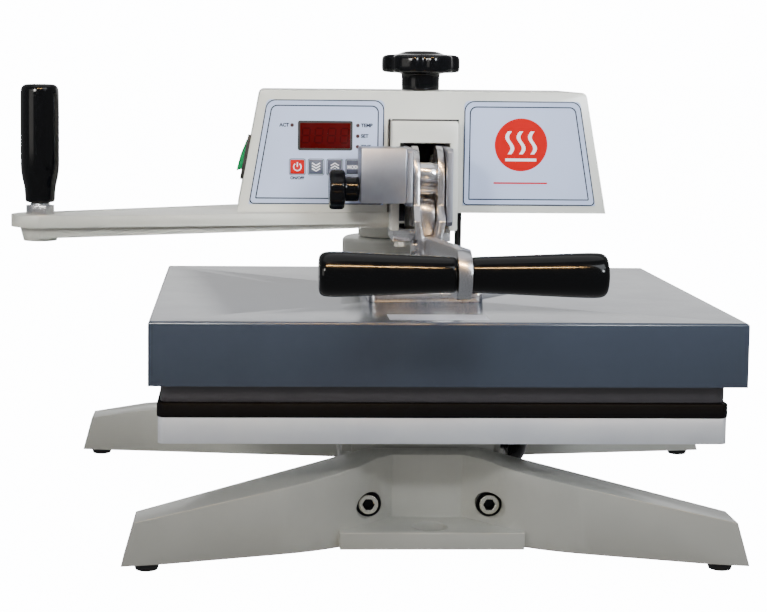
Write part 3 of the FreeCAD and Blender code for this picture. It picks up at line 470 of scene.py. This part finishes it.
# ---- knobs and grips -----------------------------------------------------------------------
def handle_grips():
    """The two tapered halves of the T handle, from the bar's faces outward."""
    low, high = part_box("handle_grips")
    bar_low, bar_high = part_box("handle_bar")
    axis_y = (low[1] + high[1]) / 2
    axis_z = (low[2] + high[2]) / 2
    halves = (("grip_left", -1, bar_low[0], low[0]), ("grip_right", 1, bar_high[0], high[0]))
    for name, side, face, end in halves:
        length = abs(end - face) / MM
        profile = [
            (5.2, 0.1), (12.4, 0.1), (13.8, 1.2), (14.3, 4.0), (15.0, 24.0), (16.4, 56.0), (17.6, 84.0),
            (18.0, length - 12), (17.6, length - 4.5), (15.4, length - 0.9), (11.5, length),
            (5.0, length - 0.4), (0, length - 0.4),
        ]
        origin = (face, axis_y, axis_z)
        lathe(name, profile, origin, (side, 0, 0), "lever", "gloss_black", ["handle_grips"], 96)


def swing_grip():
    """The upright grip that turns on its stud at the end of the swing bar."""
    low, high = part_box("swing_grip")
    mid = centre("swing_grip")
    height = (high[2] - low[2]) / MM
    profile = [
        (6.3, 0.2), (11.8, 0.1), (13.6, 1.2), (14.0, 5.0), (14.3, 12.0), (15.4, 18.0), (16.8, 24.0),
        (17.7, 30.0), (18.0, 38.0), (18.0, height - 12), (17.6, height - 4), (15.0, height - 0.8),
        (11, height), (0, height),
    ]
    origin = (mid.x, mid.y, low[2])
    lathe("swing_grip_turned", profile, origin, (0, 0, 1), "grip", "gloss_black", ["swing_grip"], 96)


PLATEN_KNOB_HEAD = 26.0


def platen_clamp_knob():
    """The mushroom knob and screw that hold the lower platen to its pedestal."""
    low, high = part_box("platen_clamp_knob")
    mid = centre("platen_clamp_knob")
    length = (high[0] - low[0]) / MM
    base = length - PLATEN_KNOB_HEAD
    profile = [
        (0, 0), (4.9, 0.5), (4.9, base), (10.6, base), (11, base + 5), (22, base + 5.6),
        (24.6, base + 8), (25, base + 13), (23.0, base + 19), (16, base + 24.2), (7, length),
        (0, length),
    ]
    lathe(
        "platen_clamp_knob_turned", profile, (low[0], mid.y, mid.z), (1, 0, 0), "platen_knob",
        "gloss_black", ["platen_clamp_knob"],
    )


def lobes(count, depth, start_r, sharp):
    """Radius factor of a lobed knob: full at the lobes, pulled in between them."""
    def ripple(angle, radius, _height):
        if radius < start_r:
            return 1.0
        share = min(1.0, (radius - start_r) / 8.0)
        return 1.0 - depth * share * (0.5 - 0.5 * math.cos(count * angle)) ** sharp
    return ripple


STAR_HEAD = 21.0
SCREW_R, SCREW_ROOT_R = 7.9, 7.0
SCREW_PITCH = 2.6
SCREW_TURNS = 17


def star_knob():
    """The pressure knob on the box, with the threaded screw below it."""
    low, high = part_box("star_knob")
    mid = centre("star_knob")
    bottom = high_corner("control_box").z + 0.6 * MM
    height = (high[2] - bottom) / MM
    flange = height - STAR_HEAD
    profile = [
        (14.5, 0.0), (18.0, 0.1), (18.5, 1.2), (18.5, flange - 3), (19.5, flange - 0.8),
        (33, flange - 0.4), (37.4, flange + 0.6), (38.2, flange + 4), (38.2, flange + 12.5),
        (37.2, flange + 15.6), (33, flange + 17.2), (24, flange + 17.4), (21, flange + 18.4),
        (16, flange + 20.4), (8, height), (0, height),
    ]
    lathe(
        "star_knob_moulded", profile, (mid.x, mid.y, bottom), (0, 0, 1), "pressure_knob",
        "gloss_black", ["star_knob"], 180, lobes(6, 0.105, 26.0, 4.0),
    )
    screw = [(0, 0), (6.4, 0), (SCREW_R, 2)]
    for i in range(SCREW_TURNS):
        crest = 3 + SCREW_PITCH * i
        screw += [(SCREW_R, crest), (SCREW_ROOT_R, crest + SCREW_PITCH / 2)]
    length = (bottom - low[2]) / MM + 1
    screw += [(SCREW_R, length - 1), (SCREW_R, length)]
    lathe(
        "pressure_screw", screw, (mid.x, mid.y, low[2]), (0, 0, 1), "pressure_knob",
        "bright_steel", ["star_knob"], 48, None, 1,
    )


def clamp_knob():
    """The small lobed knob that clamps the side swing bar."""
    low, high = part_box("clamp_knob")
    mid = centre("clamp_knob")
    length = (high[0] - low[0]) / MM
    profile = [
        (0, 0.6), (9, 0.6), (11, 0.0), (17.6, 0.2), (19.5, 2.2), (19.6, 8), (19.5, 13.2),
        (17.6, 15.0), (12.2, 15.2), (11.7, 16.2), (11.7, 27), (11.2, 28.0), (5.2, 28.0), (4.9, 29),
        (4.9, length - 1), (4, length), (0, length),
    ]
    lathe(
        "clamp_knob_moulded", profile, (low[0], mid.y, mid.z), (1, 0, 0), "side_knob",
        "gloss_black", ["clamp_knob"], 144, lobes(7, 0.10, 12.5, 1.0),
    )


# ---- printed panels ------------------------------------------------------------------------
def offset_polygon(points, inset):
    """The same convex outline, clockwise or not, with every side moved inward."""
    count = len(points)
    middle = sum((Vector(p) for p in points), Vector((0, 0))) / count
    moved = []
    for i in range(count):
        a = Vector(points[i])
        b = Vector(points[(i + 1) % count])
        normal = Vector((-(b - a).y, (b - a).x)).normalized()
        if normal.dot(middle - a) < 0:
            normal = -normal
        moved.append((a + normal * inset, (b - a).normalized()))
    out = []
    for i in range(count):
        (p, d), (q, e) = moved[i - 1], moved[i]
        cross = d.x * e.y - d.y * e.x
        t = ((q - p).x * e.y - (q - p).y * e.x) / cross
        out.append(p + d * t)
    return out


def rounded(points, radii, steps=8):
    """The outline with each corner replaced by an arc of its own radius."""
    out = []
    count = len(points)
    for i in range(count):
        here = Vector(points[i])
        before = (Vector(points[i - 1]) - here).normalized()
        after = (Vector(points[(i + 1) % count]) - here).normalized()
        radius = max(radii[i], 0.01)
        half = before.angle(after) / 2
        reach = radius / math.tan(half)
        middle = here + (before + after).normalized() * (radius / math.sin(half))
        start = here + before * reach - middle
        end = here + after * reach - middle
        turn = math.atan2(start.x * end.y - start.y * end.x, start.dot(end))
        for k in range(steps + 1):
            a = turn * k / steps
            x = start.x * math.cos(a) - start.y * math.sin(a)
            y = start.x * math.sin(a) + start.y * math.cos(a)
            out.append(middle + Vector((x, y)))
    return out


def flat_print(name, outer, inner, lift_mm, mat, body="head", thick_mm=0.10):
    """A thin shape on the front panel, or before it by lift_mm, with an optional hole.

    Points are millimetres in the frame's XZ plane.
    """
    bm = bmesh.new()
    back = PANEL_Y - lift_mm * MM
    front = back - thick_mm * MM

    def ring(points, y):
        return [bm.verts.new((p[0] * MM, y, p[1] * MM)) for p in points]

    outside = [ring(outer, back), ring(outer, front)]
    count = len(outer)
    for i in range(count):
        j = (i + 1) % count
        bm.faces.new([outside[0][i], outside[0][j], outside[1][j], outside[1][i]])
    if inner is None:
        bm.faces.new(outside[1])
        bm.faces.new(outside[0])
    else:
        inside = [ring(inner, back), ring(inner, front)]
        for i in range(count):
            j = (i + 1) % count
            bm.faces.new([inside[0][i], inside[0][j], inside[1][j], inside[1][i]])
            for level in (0, 1):
                bm.faces.new([outside[level][i], outside[level][j], inside[level][j], inside[level][i]])
    return from_bmesh(name, bm, [mat], body, (), False)


# How far the outer edge of a panel leans in towards the top.
PANEL_LEAN = 17.0


def panel_outline(node, leans_left):
    low, high = box_mm(node)
    if leans_left:
        return [(low.x, low.z), (low.x + PANEL_LEAN, high.z), (high.x, high.z), (high.x, low.z)]
    return [(high.x, low.z), (high.x - PANEL_LEAN, high.z), (low.x, high.z), (low.x, low.z)]


def panel_border(node, prefix, leans_left):
    """The two printed lines round a panel."""
    outline = panel_outline(node, leans_left)

    def ring(inset, top, bottom):
        return rounded(offset_polygon(outline, inset), [bottom, top, top, bottom])

    flat_print(prefix + "_edge_line", ring(0.1, 9.9, 4), ring(1.15, 8.9, 3.2), 0, INK_DARK)
    flat_print(prefix + "_inner_line", ring(5.3, 6.6, 1.0), ring(6.45, 5.6, 0.1), 0, INK_DARK)


def disc(x, z, radius, steps):
    angles = [2 * math.pi * i / steps for i in range(steps)]
    return [(x + radius * math.cos(a), z + radius * math.sin(a)) for a in angles]


def stroke(a, b, width):
    """A straight bar of the given width from a to b."""
    a, b = Vector(a), Vector(b)
    side = Vector((-(b - a).y, (b - a).x)).normalized() * width / 2
    return [a + side, b + side, b - side, a - side]


def words(name, text, x, z, size_mm, mat, align="LEFT", lift_mm=0.0, body="head"):
    """Printed words as a mesh, thickened a little so that small strokes still show."""
    curve = bpy.data.curves.new(name, "FONT")
    curve.body = text
    curve.size = size_mm * MM
    curve.extrude = 0.05 * MM
    curve.offset = 0.20 * MM
    curve.align_x = align
    curve.align_y = "CENTER"
    obj = bpy.data.objects.new(name, curve)
    bpy.context.scene.collection.objects.link(obj)
    deps = bpy.context.evaluated_depsgraph_get()
    mesh = bpy.data.meshes.new_from_object(obj.evaluated_get(deps))
    bpy.data.objects.remove(obj)
    turn = Matrix.Rotation(math.pi / 2, 4, "X")
    mesh.transform(Matrix.Translation((x * MM, PANEL_Y - (0.06 + lift_mm) * MM, z * MM)) @ turn)
    mesh.materials.clear()
    return new_piece(name, mesh, [mat], body)


LAMP_WORD = 4.6
LAMP_RADIUS = 1.8
LAMP_PITCH = 10.2


def indicator_words():
    low, high = box_mm("indicator_lamps")
    top = high.z - LAMP_RADIUS
    words("word_act", "ACT", low.x - 1.2, top, LAMP_WORD, INK_DARK, "RIGHT")
    for i, text in enumerate(("TEMP", "SET", "TIME")):
        words("word_" + text.lower(), text, high.x + 1.3, top - LAMP_PITCH * i, LAMP_WORD, INK_DARK)


# The seven segments of a digit, from its middle, and how the digits lean and repeat.
SEGMENTS = {
    "a": ((-3.0, 7), (3.0, 7)), "b": ((3.6, 6.4), (3.6, 0.6)), "c": ((3.6, -0.6), (3.6, -6.4)),
    "d": ((-3.0, -7), (3.0, -7)), "e": ((-3.6, -0.6), (-3.6, -6.4)), "f": ((-3.6, 6.4), (-3.6, 0.6)),
    "g": ((-3.0, 0), (3.0, 0)),
}
DIGITS = 4
DIGIT_LEAN = 0.08
SEGMENT_WIDTH = 1.25
BEZEL = 1.6


def display():
    """The black rim of the window and the unlit segments that show through it."""
    low, high = box_mm("display_lens")
    x0, x1, z0, z1 = low.x - BEZEL, high.x + BEZEL, low.z - BEZEL, high.z + BEZEL
    rim = [(x0, z0), (x0, z1), (x1, z1), (x1, z0)]
    outer = rounded(rim, [1.8] * 4, 4)
    inner = rounded(offset_polygon(rim, 2.1), [0.8] * 4, 4)
    flat_print("display_bezel", outer, inner, 0, MATS["matte_black"], "head", 0.5)
    lift = PANEL_Y / MM - low.y
    pitch = (high.x - low.x) / DIGITS
    for i in range(DIGITS):
        middle = Vector((low.x + pitch * (i + 0.5), (low.z + high.z) / 2))
        for key, ends in SEGMENTS.items():
            a, b = [middle + Vector((x + DIGIT_LEAN * z, z)) for x, z in ends]
            bar = stroke(a, b, SEGMENT_WIDTH)
            flat_print("digit_%d_%s" % (i, key), bar, None, lift, DIGIT_OFF, "head", 0.05)


def key_legend(node, name, outlines, mat, body):
    """Printed shapes on a key's face; outlines are measured from the key's middle."""
    low = box_mm(node)[0]
    mid = centre(node) / MM
    lift = PANEL_Y / MM - low.y
    for i, outline in enumerate(outlines):
        moved = [(x + mid.x, z + mid.z) for x, z in outline]
        flat_print("%s_%d" % (name, i), moved, None, lift, mat, body, 0.06)


def chevrons(direction):
    """Three arrow heads over each other: 1 points up and -1 points down."""
    shapes = []
    for level in (-2.7, 0, 2.7):
        for side in (-1, 1):
            a = (0, level + direction * 1.2)
            b = (side * 3.9, level - direction * 1.2)
            shapes.append(stroke(a, b, 1.15))
    return shapes


def arc_ring(radius, width, gap_deg, steps=32):
    """A ring that is open at the top."""
    start = math.radians(90 + gap_deg / 2)
    end = math.radians(450 - gap_deg / 2)
    angles = [start + (end - start) * i / steps for i in range(steps + 1)]
    outside = [(radius * math.cos(a), radius * math.sin(a)) for a in angles]
    hole = radius - width
    inside = [(hole * math.cos(a), hole * math.sin(a)) for a in reversed(angles)]
    return outside + inside


KEY_RIM_HALF = 8.1


def key_surround(node):
    """The embossed rim of the film round a key."""
    mid = centre(node) / MM
    half = KEY_RIM_HALF
    edge = [(-half, -half), (-half, half), (half, half), (half, -half)]
    outer = [p + Vector((mid.x, mid.z)) for p in rounded(edge, [2.2] * 4, 5)]
    inner = [p + Vector((mid.x, mid.z)) for p in rounded(offset_polygon(edge, 0.75), [1.6] * 4, 5)]
    flat_print("rim_" + node, outer, inner, 0, INK_GREY, thick_mm=0.15)


def legends():
    """Key rims, the signs on the keys and the words by them."""
    for node in ("power_button", "down_button", "up_button", "mode_button"):
        key_surround(node)
    power = [arc_ring(4.1, 1.05, 70), stroke((0, 0.2), (0, 4.6), 1.05)]
    key_legend("power_button", "legend_power", power, INK_WHITE, "power_key")
    key_legend("down_button", "legend_down", chevrons(-1), INK_WHITE, "down_key")
    key_legend("up_button", "legend_up", chevrons(1), INK_WHITE, "up_key")
    band = [stroke((-6.2, 0), (6.2, 0), 4.6)]
    key_legend("mode_button", "legend_mode", band, INK_BAND, "mode_key")
    mid = centre("mode_button") / MM
    lift = (PANEL_Y - low_corner("mode_button").y) / MM + 0.06
    words("word_mode", "MODE", mid.x, mid.z, 4.2, INK_WHITE, "CENTER", lift, "mode_key")
    mid = centre("power_button") / MM
    words("word_power", "ON/OFF", mid.x, mid.z - 10.8, 3.7, INK_DARK, "CENTER")


def wave_strip(x, z0, z1, width, swing, steps=24):
    """A band that rises from z0 to z1 through one full wave."""
    left, right = [], []
    for i in range(steps + 1):
        t = i / steps
        shift = swing * math.sin(2 * math.pi * t)
        left.append((x + shift - width / 2, z0 + (z1 - z0) * t))
        right.append((x + shift + width / 2, z0 + (z1 - z0) * t))
    return left + right[::-1]


def generic_mark():
    """A plain heat symbol, which is nobody's mark: three rising waves on a round red field."""
    low, high = box_mm("right_overlay")
    x = (low.x + high.x) / 2 - 9
    z = high.z - 42
    flat_print("mark_field", disc(x, z, 25.5, 72), None, 0, INK_RED)
    for i in (-1, 0, 1):
        strip = wave_strip(x + 11 * i, z - 9, z + 13, 3.6, 2.6)
        flat_print("mark_wave_%d" % (i + 1), strip, None, 0.12, INK_WHITE)
    flat_print("mark_base", stroke((x - 15, z - 14.5), (x + 15, z - 14.5), 2.6), None, 0.12, INK_WHITE)
    flat_print("mark_rule", stroke((x - 26, z - 37), (x + 26, z - 37), 1.5), None, 0, INK_RED)


# ---- stage ---------------------------------------------------------------------------------
# Place in metres, angles in degrees, lens in millimetres on a 36 mm sensor.
CAMERA = {
    "place": (-0.1558, -1.7217, 0.4495), "yaw": 2.091, "pitch": 5.364, "roll": 0.532, "lens": 83.36,
}
SHIFT = (0.10, -0.10)


def camera():
    data = bpy.data.cameras.new("camera")
    data.lens = CAMERA["lens"]
    data.sensor_width = 36.0
    data.shift_x, data.shift_y = SHIFT
    data.clip_start = 0.05
    data.clip_end = 60
    obj = bpy.data.objects.new("camera", data)
    obj.location = CAMERA["place"]
    turn = Matrix.Rotation(math.radians(-CAMERA["yaw"]), 4, "Z")
    tilt = Matrix.Rotation(math.radians(90 - CAMERA["pitch"]), 4, "X")
    roll = Matrix.Rotation(math.radians(CAMERA["roll"]), 4, "Z")
    obj.rotation_euler = (turn @ tilt @ roll).to_euler()
    bpy.context.scene.collection.objects.link(obj)
    bpy.context.scene.camera = obj


def area_light(
    name, place, aim, size, power, colour=(1, 1, 1), highlights_only=False, spread_deg=180,
):
    data = bpy.data.lights.new(name, "AREA")
    data.shape = "RECTANGLE"
    data.size, data.size_y = size
    data.energy = power
    data.color = colour
    data.spread = math.radians(spread_deg)
    obj = bpy.data.objects.new(name, data)
    obj.location = place
    obj.rotation_euler = (Vector(aim) - Vector(place)).to_track_quat("-Z", "Y").to_euler()
    obj.visible_diffuse = not highlights_only
    bpy.context.scene.collection.objects.link(obj)


PLAIN = (0.97, 0.98, 1.0, 1)
COOL = (0.90, 0.95, 1.0)
WARM = (1.0, 0.97, 0.91)
AMBER = (1.0, 0.60, 0.25)
FRONT_WATTS = 25
TOP_WATTS = 12
STRIP_WATTS = 40
BACK_WATTS = 18
FILL_WATTS = 10
HEAD_WATTS = 0.75
# How bright the floor and the room look to the camera, and how much light the room gives.
BACKDROP = 15.0
AMBIENT = 0.31


def seen_only(tree, bright):
    """A strength that is bright to the camera and gives the press no light."""
    path = tree.nodes.new("ShaderNodeLightPath")
    times = tree.nodes.new("ShaderNodeMath")
    times.operation = "MULTIPLY"
    times.inputs[1].default_value = bright
    tree.links.new(path.outputs["Is Camera Ray"], times.inputs[0])
    return times.outputs[0]


def studio_world():
    world = bpy.data.worlds.new("studio")
    world.use_nodes = True
    tree = world.node_tree
    background = tree.nodes["Background"]
    background.inputs["Color"].default_value = PLAIN
    add = tree.nodes.new("ShaderNodeMath")
    add.operation = "ADD"
    add.inputs[1].default_value = AMBIENT
    tree.links.new(seen_only(tree, BACKDROP), add.inputs[0])
    tree.links.new(add.outputs[0], background.inputs["Strength"])
    return world


def paper_floor():
    bm = bmesh.new()
    steps = 96
    rings = [[bm.verts.new((0, 0, 0))]]
    for radius in (1.0, 4.0, 40.0):
        rings.append([bm.verts.new((x, y, 0)) for x, y in disc(0, 0, radius, steps)])
    for a, b in zip(rings, rings[1:]):
        bridge(bm, a, b, steps)
    bmesh.ops.recalc_face_normals(bm, faces=bm.faces[:])
    mesh = bpy.data.meshes.new("floor")
    bm.to_mesh(mesh)
    bm.free()
    mesh.polygons.foreach_set("use_smooth", [True] * len(mesh.polygons))
    floor = bpy.data.objects.new("floor", mesh)
    bpy.context.scene.collection.objects.link(floor)
    paper = Mat("paper", (0.42, 0.42, 0.42), 0.8)
    paper.vary_colour(paper.noise(600, 2.0), 0.01)
    paper.link(seen_only(paper.mat.node_tree, BACKDROP), paper.shader.inputs["Emission Strength"])
    paper.set(Emission_Color=PLAIN)
    mesh.materials.append(paper.mat)
    floor.visible_glossy = False


def stage():
    paper_floor()
    bpy.context.scene.world = studio_world()
    area_light("front", (1.3, -1.8, 2.3), (0, 0, 0.25), (1.3, 1.1), FRONT_WATTS, COOL)
    area_light("top", (-0.1, 0.1, 2.4), (0, 0, 0.2), (2.6, 1.8), TOP_WATTS)
    area_light("strip", (-0.15, -1.35, 1.50), (0, -0.34, 0.25), (0.9, 0.03), STRIP_WATTS, AMBER, True)
    area_light("back", (0.8, 2.8, 0.95), (0.1, 0, 0.25), (4.4, 1.2), BACK_WATTS)
    area_light("fill", (-2.0, -1.7, 0.8), (0, 0, 0.2), (1.2, 1.2), FILL_WATTS, WARM)
    for name, place, aim, colour in (
        ("head_right", (0.62, -1.0, 0.80), (0.12, 0, 0.38), COOL),
        ("head_left", (-0.70, -1.0, 0.80), (-0.14, 0, 0.38), WARM),
    ):
        area_light(name, place, aim, (0.3, 0.3), HEAD_WATTS, colour, False, 30)


carry_over()
build_softened()
counterbore_shadows()
yoke_gap_shadows()
handle_grips()
swing_grip()
platen_clamp_knob()
star_knob()
clamp_knob()
panel_border("left_overlay", "left_panel", True)
panel_border("right_overlay", "right_panel", False)
indicator_words()
display()
legends()
generic_mark()
stage()
camera()
